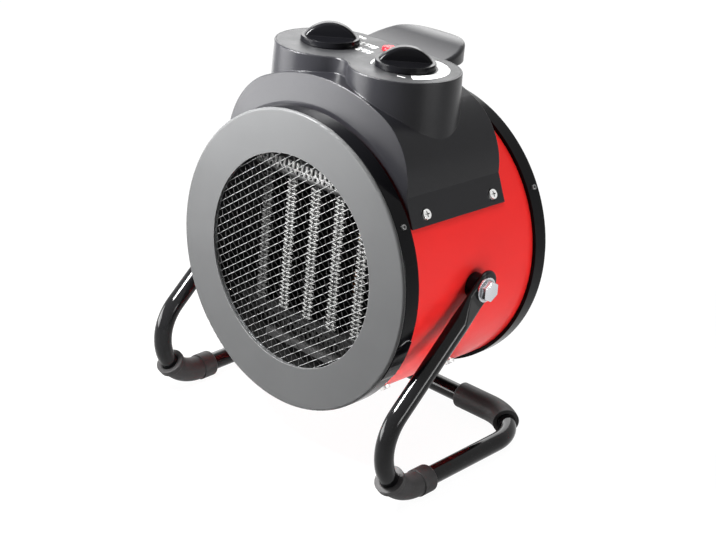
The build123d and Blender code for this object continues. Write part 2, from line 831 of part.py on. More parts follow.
for number, column in enumerate(element_columns, start=1):
    with BuildPart() as heating_tube:
        with BuildSketch(across(element_rear)):
            with Locations((column, 0)):
                Rectangle(element_tube, element_height)
        extrude(amount=element_depth)
        with BuildSketch(level(half_height, column, element_middle)):
            Rectangle(element_tube - 2 * element_tube_wall, element_depth - 2 * element_tube_wall)
        extrude(amount=-element_height, mode=Mode.SUBTRACT)
    save(heating_tube, f"heating_tube_{number}")

with BuildPart() as fin_strips:
    for column in element_columns:
        fin_strip(column + tube_half + shaft_gap, 1)
        fin_strip(column - tube_half - shaft_gap, -1)
save(fin_strips, "fin_strips")

with BuildPart() as heating_stones:
    stone_step = element_height / stone_count
    stone_width = element_tube - 2 * element_tube_wall - 2 * shaft_gap
    stone_depth = element_depth - 2 * element_tube_wall - 2 * shaft_gap
    for column in element_columns:
        for i in range(stone_count):
            middle = (i - (stone_count - 1) / 2) * stone_step
            base = level(middle - stone_length / 2, column, element_middle)
            with BuildSketch(base):
                Rectangle(stone_width, stone_depth)
            extrude(amount=stone_length)
save(heating_stones, "heating_stones")

insulator_half = element_columns[-1] + tube_half + fin_width + rail_overhang
with BuildPart() as element_insulators:
    for mirror in (1, -1):
        with BuildSketch(level(mirror * (half_height + seat_gap), 0, element_middle)):
            Rectangle(2 * insulator_half, element_depth)
        extrude(amount=mirror * insulator_sheet)
save(element_insulators, "element_insulators")


def duct_half(height):
    """Half the width that is free inside the duct at a height above its axis."""
    return sqrt(duct_inner**2 - height**2) - seat_gap


rail_width = element_depth + 2 * rail_overhang
tooth_count = int(duct_half(rail_crest) / rail_tooth)
for mirror, name in ((1, "upper"), (-1, "lower")):
    with BuildPart() as element_rail:
        with BuildSketch(level(mirror * rail_inner, 0, element_middle)):
            Rectangle(2 * duct_half(rail_outer), rail_width)
        extrude(amount=mirror * rail_sheet)
        with BuildSketch(across(element_middle - rail_width / 2 + rail_sheet)):
            with Locations((0, mirror * (rail_outer + rail_lip / 2))):
                Rectangle(2 * duct_half(rail_crest), rail_lip)
            with Locations((0, mirror * rail_crest)):
                with GridLocations(2 * rail_tooth, 1, tooth_count, 1):
                    Rectangle(rail_tooth, rail_lip, mode=Mode.SUBTRACT)
            with Locations((0, mirror * (rail_outer + rail_lip / 4))):
                with GridLocations(2 * rail_tooth, 1, tooth_count - 1, 1):
                    Rectangle(rail_tooth, rail_lip / 4, mode=Mode.SUBTRACT)
        extrude(amount=rail_sheet)
    save(element_rail, f"element_rail_{name}")

crossbar_low = crossbar_height - crossbar_drop
with BuildPart() as element_crossbar:
    with BuildSketch(across(element_front + rail_sheet)):
        with Locations((0, crossbar_low - crossbar_height / 2)):
            Rectangle(2 * duct_half(crossbar_drop), crossbar_height)
    extrude(amount=rail_sheet)
    with BuildSketch(level(crossbar_low, 0, element_front + crossbar_flange / 2)):
        Rectangle(2 * duct_half(crossbar_drop), crossbar_flange)
    extrude(amount=-rail_sheet)
save(element_crossbar, "element_crossbar")

# ---------------------------------------------------------------- fan shroud, motor bracket, motor
with BuildPart() as fan_shroud:
    round_wall(shroud_front, shroud_front + shroud_sheet, drum_inner - seat_gap, shroud_radius)
    collar_outer = shroud_radius + shroud_sheet
    round_wall(shroud_front, shroud_front + shroud_collar, collar_outer, shroud_radius)
    for angle in spider_angles:
        place = Vector(spider_screw_radius, 0).rotate(Axis.Z, angle)
        hole(across(shroud_front, place.X, place.Y), small_shank_radius + screw_gap, 2 * shroud_sheet)
save(fan_shroud, "fan_shroud")

spider_reach = duct_inner - seat_gap
bolt_spread = stack_side / 2 - stack_limb


def bolt_holes():
    """The two holes that the motor's long bolts go through."""
    with Locations((-bolt_spread, 0), (bolt_spread, 0)):
        Circle(small_shank_radius + screw_gap, mode=Mode.SUBTRACT)


with BuildPart() as motor_spider:
    with BuildSketch(across(spider_front + spider_sheet)):
        Circle(spider_ring)
        with PolarLocations(spider_reach / 2, spider_arms, start_angle=spider_angles[0]):
            Rectangle(spider_reach, spider_arm)
        Circle(spider_reach, mode=Mode.INTERSECT)
        Circle(bush_radius + seat_gap, mode=Mode.SUBTRACT)
        with PolarLocations(spider_screw_radius, spider_arms, start_angle=spider_angles[0]):
            Circle(small_shank_radius + screw_gap, mode=Mode.SUBTRACT)
        bolt_holes()
    extrude(amount=spider_sheet)
save(motor_spider, "motor_spider")

stack_half = stack_side / 2
window_top = -(rotor_radius + rotor_gap + stack_limb)
window_low = -(stack_drop - stack_limb)
with BuildPart() as motor_stator:
    with BuildSketch(across(stack_rear)):
        with Locations((0, (rotor_radius + rotor_gap + stack_limb - stack_drop) / 2)):
            Rectangle(stack_side, rotor_radius + rotor_gap + stack_limb + stack_drop)
        Circle(rotor_radius + rotor_gap, mode=Mode.SUBTRACT)
        with Locations((0, (window_top + window_low) / 2)):
            Rectangle(stack_side - 2 * stack_limb, window_top - window_low, mode=Mode.SUBTRACT)
        bolt_holes()
    extrude(amount=stack_depth)
save(motor_stator, "motor_stator")

with BuildPart() as motor_coil:
    coil_centre = -(stack_drop - stack_limb / 2)
    coil_middle = (stack_front + stack_rear) / 2
    with BuildSketch(side(-coil_length / 2, coil_middle, coil_centre)):
        RectangleRounded(
            stack_depth + 2 * coil_wall, stack_limb + 2 * coil_wall, coil_wall / 2
        )
        Rectangle(stack_depth + 2 * seat_gap, stack_limb + 2 * seat_gap, mode=Mode.SUBTRACT)
    extrude(amount=coil_length)
save(motor_coil, "motor_coil")

bridge_half = bolt_spread + bridge_leg / 2
with BuildPart() as motor_bridges:
    for outer_face, facing in ((motor_rear, -1), (motor_front, 1)):
        # Each bridge spans the rotor and holds one bush.
        with BuildSketch(across(outer_face)):
            Rectangle(2 * bridge_half, bridge_width)
        extrude(amount=-facing * bridge_sheet)
        with BuildSketch(across(outer_face)):
            with Locations((-bolt_spread, 0), (bolt_spread, 0)):
                Rectangle(bridge_leg, bridge_width)
        extrude(amount=-facing * bridge_rise)
        with BuildSketch(across(outer_face)):
            Circle(bush_radius + bridge_sheet)
        extrude(amount=-facing * bush_length)
        with BuildSketch(across(outer_face - facing * seat_gap)):
            Circle(bush_radius + shaft_gap)
        extrude(amount=-facing * (bush_length + 2 * seat_gap), mode=Mode.SUBTRACT)
        with BuildSketch(across(outer_face - facing * seat_gap)):
            with Locations((-bolt_spread, 0), (bolt_spread, 0)):
                Circle(small_shank_radius + screw_gap)
        extrude(amount=-facing * (bridge_rise + 2 * seat_gap), mode=Mode.SUBTRACT)
save(motor_bridges, "motor_bridges")

with BuildPart() as motor_bolts:
    for x in (-bolt_spread, bolt_spread):
        seat = across(motor_front - running_gap, x)
        length = spider_front + spider_sheet - motor_front + 2 * small_head
        pan_screw(seat, small_head_radius, small_head, small_shank_radius, length)
save(motor_bolts, "motor_bolts")

with BuildPart() as motor_bushes:
    round_wall(motor_rear - bush_length, motor_rear, bush_radius, shaft_radius + shaft_gap)
    round_wall(motor_front, motor_front + bush_length, bush_radius, shaft_radius + shaft_gap)
save(motor_bushes, "motor_bushes")

with BuildPart() as motor_rotor:
    round_wall(stack_front, stack_rear, rotor_radius, shaft_radius + shaft_gap)
save(motor_rotor, "motor_rotor")

clip_front = fan_front + fan_hub_length + seat_gap
with BuildPart() as fan_shaft:
    shaft_front = motor_front - clip_sheet
    shaft_rear = clip_front + 2 * clip_sheet
    with BuildSketch(across(shaft_rear)):
        Circle(shaft_radius)
    extrude(amount=shaft_rear - shaft_front)
save(fan_shaft, "fan_shaft")

with BuildPart() as hub_clip:
    round_wall(clip_front, clip_front + clip_sheet, clip_radius, shaft_radius + shaft_gap)
save(hub_clip, "hub_clip")


def blade(turn):
    """One twisted blade, from inside the hub to just beyond the wheel's edge."""
    sections = (
        (fan_hub_radius - 2 * blade_sheet, blade_root_chord, blade_root_pitch),
        (fan_radius + blade_sheet, blade_tip_chord, blade_tip_pitch),
    )
    outlines = []
    for radius, chord, pitch in sections:
        with BuildSketch(radial(turn, (fan_front + fan_rear) / 2, radius)) as outline:
            Rectangle(chord, blade_sheet, rotation=90 - pitch)
        outlines.append(outline.sketch)
    loft(outlines)


with BuildPart() as fan_wheel:
    for i in range(blade_count):
        blade(360 / blade_count * i)
    with BuildSketch(across(fan_rear)):
        Circle(fan_radius)
    extrude(amount=fan_depth, mode=Mode.INTERSECT)
    with BuildSketch(across(fan_front + fan_hub_length)):
        Circle(fan_hub_radius)
    extrude(amount=fan_hub_length)
    round_cut(fan_front, fan_rear, shaft_radius + shaft_gap)
save(fan_wheel, "fan_wheel")

# ---------------------------------------------------------------- rear guard
guard_edge = drum_inner - seat_gap
guard_row = guard_gap + guard_bar
with BuildPart() as rear_guard:
    with BuildSketch(across(guard_rear)):
        Circle(guard_edge)
        for row in reversed(range(guard_rows)):
            bar_radius = guard_hub + row * guard_row
            Circle(bar_radius + guard_gap, mode=Mode.SUBTRACT)
            Circle(bar_radius)
        spoke_length = guard_hub + guard_rows * guard_row
        with PolarLocations(spoke_length / 2, guard_spokes, start_angle=90):
            Rectangle(spoke_length, guard_bar)
    extrude(amount=guard_sheet)
save(rear_guard, "rear_guard")

# ---------------------------------------------------------------- control housing
inlet = behind(housing_rear, gland_x, gland_z)

with BuildPart() as control_housing:
    with BuildSketch(across(housing_rear)):
        arch_profile(0, skirt_x, skirt_z)
    extrude(amount=housing_rear - visor_front)
    with BuildSketch(level(deck_height)):
        tower_outline(0)
    extrude(amount=-tower_depth, taper=-tower_draft)
    with BuildSketch(side(0)) as visor_clearance:
        # The hood's front slopes back from the visor's lip.
        Polygon(
            (visor_front, visor_radius),
            (visor_front - visor_lean, visor_radius),
            (visor_front - visor_lean, deck_height),
            (-housing_front, deck_height),
            (-housing_front, arch_top),
            align=None,
        )
    revolve(visor_clearance.sketch, axis=drum_axis, mode=Mode.SUBTRACT)
    with BuildSketch(across(housing_rear - housing_wall)):
        arch_profile(housing_wall, arch_half_width - housing_wall, skirt_z)
    extrude(amount=housing_rear + housing_front - 2 * housing_wall, mode=Mode.SUBTRACT)
    with BuildSketch(level(plate_underside - seat_gap)):
        tower_outline(tower_inset)
    extrude(amount=-tower_depth, mode=Mode.SUBTRACT)
    deck_edges = edges().group_by(Axis(drum.origin, drum.z_dir))[-1]
    fillet(deck_edges, tower_round)
    with BuildSketch(level(plate_underside - seat_gap)):
        tower_outline(deck_rim)
    extrude(amount=deck_sheet + 2 * seat_gap, mode=Mode.SUBTRACT)
    round_cut(-drum_front, drum_rear, drum_seat)
    for angle, depth in housing_screw_places:
        hole(radial(angle, depth, flange_radius), pan_shank_radius + screw_gap, 2 * flange_sheet)
        hole(radial(angle, depth, flange_radius + pan_head), pan_head_radius + screw_gap, pan_head)
    hole(inlet, gland_thread_radius + screw_gap, 2 * housing_wall)
    for spread in (-handle_screw_spread, handle_screw_spread):
        outer_wall = behind(wall_inside + 2 * tower_inset, spread, handle_underside)
        hole(outer_wall, pan_shank_radius + screw_gap, 3 * tower_inset)
save(control_housing, "control_housing")

with BuildPart() as control_plate:
    with BuildSketch(level(plate_underside)):
        tower_outline(deck_rim + seat_gap)
        for x in knob_places.values():
            with Locations((x, lobe_back)):
                Circle(neck_radius + seat_gap, mode=Mode.SUBTRACT)
        with Locations((0, lamp_back)):
            Circle(lamp_radius + seat_gap, mode=Mode.SUBTRACT)
    extrude(amount=deck_sheet)
save(control_plate, "control_plate")

# ---------------------------------------------------------------- knobs and what they turn
stem_top = deck_height + knob_rise - 2 * grip_round
stem_low = plate_underside - seat_gap - switch_depth / 2
knob_base = deck_height + knob_lift
grip_base = knob_base + knob_skirt / 4
grip_half = knob_radius - grip_round / 2


def knob_plane(x):
    """Upright along a knob's grip, which stands at an angle across its disc."""
    along = drum.x_dir * cos(radians(knob_turn)) + drum.y_dir * sin(radians(knob_turn))
    facing = drum.x_dir * sin(radians(knob_turn)) - drum.y_dir * cos(radians(knob_turn))
    return Plane(at(x, lobe_back, grip_base), x_dir=along, z_dir=facing)


for name, x in knob_places.items():
    with BuildPart() as knob:
        with BuildSketch(knob_plane(x)):
            with BuildLine():
                crest = ThreePointArc(
                    (-grip_half, 0), (0, deck_height + knob_rise - grip_base), (grip_half, 0)
                )
                Line(crest @ 1, crest @ 0)
            make_face()
        extrude(amount=grip_thickness / 2, both=True)
        fillet(edges().filter_by(GeomType.CIRCLE), grip_round)
        with BuildSketch(level(knob_base, x, lobe_back)):
            Circle(knob_radius)
        extrude(amount=knob_skirt, taper=knob_draft)
        with BuildSketch(level(knob_base, x, lobe_back)):
            Circle(knob_recess_radius)
        extrude(amount=knob_recess, mode=Mode.SUBTRACT)
        with BuildSketch(level(knob_base, x, lobe_back)):
            Circle(stem_radius + shaft_gap)
        extrude(amount=stem_top - knob_base + seat_gap, mode=Mode.SUBTRACT)
    save(knob, f"{name}_knob")

    with BuildPart() as stem:
        with BuildSketch(level(stem_low, x, lobe_back)):
            Circle(stem_radius)
        extrude(amount=stem_top - stem_low)
    save(stem, f"{name}_stem")


def switch_neck(x, top):
    """The threaded neck that holds a switch in the control plate, bored for its stem."""
    with BuildSketch(level(top, x, lobe_back)) as neck:
        Circle(neck_radius)
    extrude(neck.sketch, amount=deck_height + neck_rise - top)
    with BuildSketch(level(deck_height + neck_rise, x, lobe_back)) as bore:
        Circle(stem_radius + running_gap)
    depth = deck_height + neck_rise - stem_low + seat_gap
    extrude(bore.sketch, amount=-depth, mode=Mode.SUBTRACT)


body_top = plate_underside - seat_gap
with BuildPart() as selector_switch:
    with BuildSketch(level(body_top, knob_places["selector"], lobe_back)):
        RectangleRounded(switch_length, switch_width, neck_rise)
    extrude(amount=-switch_depth)
    switch_neck(knob_places["selector"], body_top)
save(selector_switch, "selector_switch")

with BuildPart() as thermostat_body:
    with BuildSketch(level(body_top, knob_places["thermostat"], lobe_back)):
        Circle(thermostat_radius)
    extrude(amount=-thermostat_depth)
    switch_neck(knob_places["thermostat"], body_top)
save(thermostat_body, "thermostat_body")

with BuildPart() as lamp_lens:
    with BuildSketch(level(deck_height + running_gap, 0, lamp_back)):
        Circle(lamp_flange)
    extrude(amount=lamp_rise)
    fillet(edges().group_by(Axis(drum.origin, drum.z_dir))[-1], lamp_round)
    with BuildSketch(level(deck_height + running_gap, 0, lamp_back)):
        Circle(lamp_radius)
    extrude(amount=-deck_sheet - running_gap)
save(lamp_lens, "lamp_lens")

with BuildPart() as lamp_body:
    with BuildSketch(level(plate_underside - seat_gap, 0, lamp_back)):
        Circle(lamp_radius + deck_rim)
    extrude(amount=-lamp_length)
save(lamp_body, "lamp_body")

# ---------------------------------------------------------------- carrying handle
draft_spread = (deck_height - handle_root_low) * tan(radians(tower_draft))
handle_front = lobe_back + lobe_radius + draft_spread + seat_gap
handle_end = handle_centre + handle_radius
scoop_end = (handle_front + handle_end) / 2


def round_the_crown(edge):
    """Whether an edge goes round the handle's top, apart from its straight root and crease."""
    place = drum.to_local_coords(edge.position_at(0.5))
    return place.Z > handle_root_top and edge.geom_type != GeomType.LINE


with BuildPart() as handle:
    with BuildSketch(side(-handle_radius)):
        with BuildLine():
            ThreePointArc(
                (handle_front, handle_root_top),
                ((handle_front + scoop_end) / 2, handle_root_top + (handle_top - handle_root_top) / 3),
                (scoop_end, handle_top - handle_round),
            )
            ThreePointArc(
                (scoop_end, handle_top - handle_round),
                ((scoop_end + handle_end) / 2, handle_top),
                (handle_end, handle_top - handle_round),
            )
            Polyline(
                (handle_end, handle_top - handle_round),
                (handle_end, handle_underside),
                (handle_front, handle_underside),
                (handle_front, handle_root_top),
            )
        make_face()
    extrude(amount=2 * handle_radius)
    with BuildSketch(level(handle_underside)):
        with Locations((0, handle_centre)):
            Circle(handle_radius)
            Rectangle(2 * handle_radius, handle_centre, align=(Align.CENTER, Align.MAX))
    extrude(amount=handle_radius, mode=Mode.INTERSECT)
    fillet(edges().filter_by(round_the_crown), handle_edge)
    with BuildSketch(level(handle_underside)):
        with Locations((0, handle_centre)):
            Circle(handle_radius - handle_wall)
        with Locations((0, handle_front + handle_root_depth)):
            Rectangle(2 * handle_radius, handle_radius, align=(Align.CENTER, Align.MAX), mode=Mode.SUBTRACT)
    extrude(amount=handle_hollow, mode=Mode.SUBTRACT)
    with BuildSketch(level(handle_root_low, 0, handle_front + handle_root_depth / 2)):
        Rectangle(2 * handle_root_half, handle_root_depth)
    extrude(amount=handle_underside - handle_root_low)
    for spread in (-handle_screw_spread, handle_screw_spread):
        hole(across(handle_front, spread, handle_underside), pan_shank_radius + running_gap, pan_length)
save(handle, "handle")

with BuildPart() as handle_screws:
    for spread in (-handle_screw_spread, handle_screw_spread):
        seat = across(wall_inside - running_gap, spread, handle_underside)
        pan_screw(seat, pan_head_radius, pan_head, pan_shank_radius, pan_length)
save(handle_screws, "handle_screws")

# ---------------------------------------------------------------- cable inlet and wiring parts
with BuildPart() as cable_gland:
    with BuildSketch(inlet.offset(seat_gap)):
        Circle(gland_flange_radius)
    extrude(amount=gland_flange)
    with BuildSketch(inlet.offset(seat_gap + gland_flange)):
        Circle(gland_thread_radius)
    extrude(amount=gland_nose - gland_flange, taper=gland_taper)
    with BuildSketch(inlet.offset(seat_gap)):
        Circle(gland_thread_radius)
    extrude(amount=-gland_inner)
    with BuildSketch(inlet.offset(gland_nose + seat_gap)):
        Circle(gland_bore)
    extrude(amount=-gland_nose - gland_inner, mode=Mode.SUBTRACT)
save(cable_gland, "cable_gland")

terminal_edge = abs(terminal_x) - terminal_width / 2
terminal_base = sqrt(drum_radius**2 - terminal_edge**2) + seat_gap
with BuildPart() as terminal_block:
    with BuildSketch(level(terminal_base, terminal_x, terminal_y)):
        Rectangle(terminal_width, terminal_length)
    extrude(amount=terminal_height)
    with BuildSketch(level(terminal_base + terminal_height, terminal_x, terminal_y)):
        with GridLocations(terminal_width / 2, terminal_length / 3, 2, 3):
            Circle(pan_shank_radius)
    extrude(amount=-terminal_height / 2, mode=Mode.SUBTRACT)
save(terminal_block, "terminal_block")

with BuildPart() as thermal_cutout:
    cutout_plane = radial(90, element_front, duct_outer + seat_gap)
    with BuildSketch(cutout_plane):
        Circle(cutout_radius)
    extrude(amount=cutout_height)
    with BuildSketch(cutout_plane):
        Rectangle(4 * cutout_radius, cutout_radius / 2)
    extrude(amount=rail_sheet)
save(thermal_cutout, "thermal_cutout")


def lead(*corners):
    """One insulated wire through corners given in the drum's frame."""
    with BuildLine() as route:
        FilletPolyline(*[at(*corner) for corner in corners], radius=lead_bend)
    with BuildSketch(Plane(route.line @ 0, z_dir=route.line % 0)) as section:
        Circle(lead_radius)
    sweep(section.sketch, path=route.wires()[0])


selector_low = body_top - switch_depth - seat_gap
thermostat_low = body_top - thermostat_depth - seat_gap
terminal_top = terminal_base + terminal_height
terminal_screw_x = terminal_x + terminal_width / 4
lead_run = terminal_top + lead_rise
lead_duct_run = (duct_outer + drum_inner) / 2
with BuildPart() as inner_leads:
    x = knob_places["selector"]
    y = terminal_y - terminal_length / 3
    lead(
        (terminal_screw_x, y, terminal_top - terminal_height / 3),
        (terminal_screw_x, y, lead_run),
        (x, lobe_back, lead_run),
        (x, lobe_back, selector_low),
    )
    x = knob_places["thermostat"]
    y = terminal_y + terminal_length / 3
    lead(
        (terminal_screw_x, y, terminal_top - terminal_height / 3),
        (terminal_screw_x, y, lead_run),
        (x, y, lead_run),
        (x, lobe_back, lead_run),
        (x, lobe_back, thermostat_low),
    )
    for mirror, low in ((-1, selector_low), (1, thermostat_low)):
        start_x = mirror * (lobe_spread - thermostat_radius / 2)
        lead(
            (start_x, lead_y, low),
            (start_x, lead_y, lead_run),
            (mirror * lead_x, lead_y, lead_run),
            (mirror * lead_x, lead_y, lead_duct_run),
            (mirror * lead_x, element_middle, lead_duct_run),
            (mirror * lead_x, element_middle, rail_outer + seat_gap),
        )
save(inner_leads, "inner_leads")
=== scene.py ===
import json
import math

import bpy
from mathutils import Matrix, Vector

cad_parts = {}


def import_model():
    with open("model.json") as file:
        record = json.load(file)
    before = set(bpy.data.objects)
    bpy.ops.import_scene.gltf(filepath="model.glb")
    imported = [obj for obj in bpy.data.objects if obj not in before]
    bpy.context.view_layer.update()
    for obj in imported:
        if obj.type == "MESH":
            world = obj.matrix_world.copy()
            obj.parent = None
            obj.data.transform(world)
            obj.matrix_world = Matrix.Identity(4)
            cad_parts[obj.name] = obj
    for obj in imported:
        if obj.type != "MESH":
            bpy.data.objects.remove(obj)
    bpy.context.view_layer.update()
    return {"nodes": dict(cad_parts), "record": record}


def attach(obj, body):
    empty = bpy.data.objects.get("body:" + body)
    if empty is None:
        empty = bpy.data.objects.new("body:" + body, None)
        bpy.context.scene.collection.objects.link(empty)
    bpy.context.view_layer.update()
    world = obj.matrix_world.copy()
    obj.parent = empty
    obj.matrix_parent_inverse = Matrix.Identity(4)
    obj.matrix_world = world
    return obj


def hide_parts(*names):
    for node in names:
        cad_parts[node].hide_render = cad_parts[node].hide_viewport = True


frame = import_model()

NODES = frame["nodes"]

# ------------------------------------------------------------------ the drum's own frame
# Lengths here are millimetres, and at() turns the drum's points into the metres of the frame.
MM = 0.001
TILT = math.radians(2.15)  # how far the drum leans back at rest
PIVOT = Vector((0, 8.925, 141.7))
RISE = Vector((0, math.sin(TILT), math.cos(TILT)))
BACK = Vector((0, math.cos(TILT), -math.sin(TILT)))
DRUM = PIVOT - RISE * 1.1  # the drum's axis runs just below the pivot bolts

DECK = 139.3  # the control plate's face, above the drum's axis
MESH_DEPTH = -72.4  # the outlet mesh's plane
RAIL_EDGE = 58.6  # the lowest fold of the upper toothed rail, above the drum's axis


def at(x, y, z):
    """A point of the drum's frame (x right, y to the rear, z up), in metres in the shared frame."""
    return (DRUM + Vector((x, 0, 0)) + BACK * y + RISE * z) * MM


# ------------------------------------------------------------------ node helpers
def feed(tree, node, inputs):
    """Sets input sockets: another node's output is linked, anything else is the socket's value."""
    for key, value in inputs.items():
        if isinstance(value, bpy.types.NodeSocket):
            tree.links.new(value, node.inputs[key])
        else:
            node.inputs[key].default_value = value


def new(tree, kind, inputs=None, **props):
    """A new node with its properties and its input sockets set."""
    node = tree.nodes.new(kind)
    for key, value in props.items():
        setattr(node, key, value)
    feed(tree, node, inputs or {})
    return node


def nodes_of(name):
    """A new material with its tree and its shader."""
    mat = bpy.data.materials.new(name)
    mat.use_nodes = True
    tree = mat.node_tree
    return mat, tree, tree.nodes["Principled BSDF"]


def object_coords(tree):
    """An object's own coordinates, in metres."""
    return new(tree, "ShaderNodeTexCoord").outputs["Object"]


def noise(tree, coords, scale, detail=4.0, rough=0.55, stretch=None):
    """Noise from 0 to 1 over coordinates that may be stretched first."""
    if stretch:
        mapping = new(tree, "ShaderNodeMapping", {"Vector": coords, "Scale": stretch})
        coords = mapping.outputs["Vector"]
    node = new(tree, "ShaderNodeTexNoise",
               {"Vector": coords, "Scale": scale, "Detail": detail, "Roughness": rough})
    return node.outputs["Fac"]


def ramp(tree, value, stops):
    """A value led through (place, grey) stops."""
    node = new(tree, "ShaderNodeValToRGB", {"Fac": value})
    elements = node.color_ramp.elements
    while len(elements) < len(stops):
        elements.new(0.5)
    for element, (place, grey) in zip(elements, stops):
        element.position = place
        element.color = (grey, grey, grey, 1)
    return node.outputs["Color"]


def mix(tree, factor, a, b):
    """Two colours mixed. Each is a tuple or another node's output."""
    a, b = ((*c, 1) if isinstance(c, tuple) else c for c in (a, b))
    # 6, 7 and 2 are the colour sockets: A, B and Result also name those of other data types
    return new(tree, "ShaderNodeMix", {"Factor": factor, 6: a, 7: b}, data_type="RGBA").outputs[2]


def math_node(tree, op, a, b):
    """The result of an operation on two numbers or outputs."""
    return new(tree, "ShaderNodeMath", {0: a, 1: b}, operation=op).outputs[0]


def bump(tree, height, strength, distance, normal=None):
    """The relief of a height, as deep as a distance in metres, over a normal where one is given."""
    node = new(tree, "ShaderNodeBump",
               {"Height": height, "Strength": strength, "Distance": distance})
    if normal is not None:
        feed(tree, node, {"Normal": normal})
    return node.outputs["Normal"]


def number_of(tree, vector, axis):
    """One of a vector's three numbers."""
    return new(tree, "ShaderNodeSeparateXYZ", {"Vector": vector}).outputs[axis]


# ------------------------------------------------------------------ materials
DUST = (0.45, 0.44, 0.42)
# Painted shade: the colour that recesses are darkened towards.
HOLLOW_SHADE = (0.012, 0.012, 0.012)
# Painted shade: the near black of the heater's inside.
PAINTED_SHADE_BLACK = (0.005, 0.005, 0.005)


def surface(name, color, rough, metal=0.0, coat=0.0, coat_rough=0.08, spread=0.06, tone=0.12,
            grain=0.0, grain_scale=900.0, orange=0.0, stretch=None, edge=0.0, worn_highlight_color=None,
            dust=0.0, round_mm=0.5, spec=0.5, hollow_shade=0.0, hollow_shade_mm=1.0):
    """A worn, finished surface. Its tone varies, dust lies on it in specks, its edges are
    lightened, partly as rubbed wear and partly as a painted highlight, and its recesses are
    darkened as painted shade. Its gloss is patchy, and the relief is that of rounded edges with
    orange peel and grain over them."""
    mat, tree, bsdf = nodes_of(name)
    co = object_coords(tree)
    rounded = new(tree, "ShaderNodeBevel", {"Radius": round_mm * MM}, samples=4).outputs["Normal"]

    dark = tuple(c * (1 - tone) for c in color)
    light = tuple(min(1.0, c * (1 + tone)) for c in color)
    broad = ramp(tree, noise(tree, co, 18.0, 3.0), [(0.3, 0.0), (0.7, 1.0)])
    base = mix(tree, broad, dark, light)
    if dust:
        specks = ramp(tree, noise(tree, co, 420.0, 6.0, 0.7), [(0.60, 0.0), (0.72, dust)])
        base = mix(tree, specks, base, DUST)
    # Edges are lightened, partly as rubbed wear and partly as a painted highlight.
    if edge:
        flat = new(tree, "ShaderNodeNewGeometry").outputs["Normal"]
        facing = new(tree, "ShaderNodeVectorMath", {0: rounded, 1: flat}, operation="DOT_PRODUCT")
        rub = ramp(tree, facing.outputs["Value"], [(0.86, 1.0), (0.995, 0.0)])
        worn = ramp(tree, noise(tree, co, 160.0, 4.0), [(0.35, 0.1), (0.65, 1.0)])
        rub = math_node(tree, "MULTIPLY", rub, worn)
        rub = math_node(tree, "MULTIPLY", rub, edge)
        base = mix(tree, rub, base, worn_highlight_color or tuple(min(1.0, c * 2.5 + 0.05) for c in color))
    # Painted shade: recesses are darkened by ambient occlusion.
    if hollow_shade:
        hollow = new(tree, "ShaderNodeAmbientOcclusion", {"Distance": hollow_shade_mm * MM}, samples=8)
        painted_shade = ramp(tree, hollow.outputs["AO"], [(0.35, hollow_shade), (0.85, 0.0)])
        base = mix(tree, painted_shade, base, HOLLOW_SHADE)

    low, high = max(0.03, rough - spread), min(1.0, rough + spread)
    patches = ramp(tree, noise(tree, co, 65.0, 5.0, 0.6), [(0.3, low), (0.7, high)])

    normal = rounded
    if orange:
        normal = bump(tree, noise(tree, co, 230.0, 2.0), orange, 0.0004, normal)
    if grain:
        fine = noise(tree, co, grain_scale, 3.0, 0.6, stretch)
        normal = bump(tree, fine, grain, 0.0002, normal)

    feed(tree, bsdf, {
        "Base Color": base, "Roughness": patches, "Normal": normal, "Metallic": metal,
        "Coat Weight": coat, "Coat Roughness": coat_rough, "Specular IOR Level": spec,
    })
    return mat


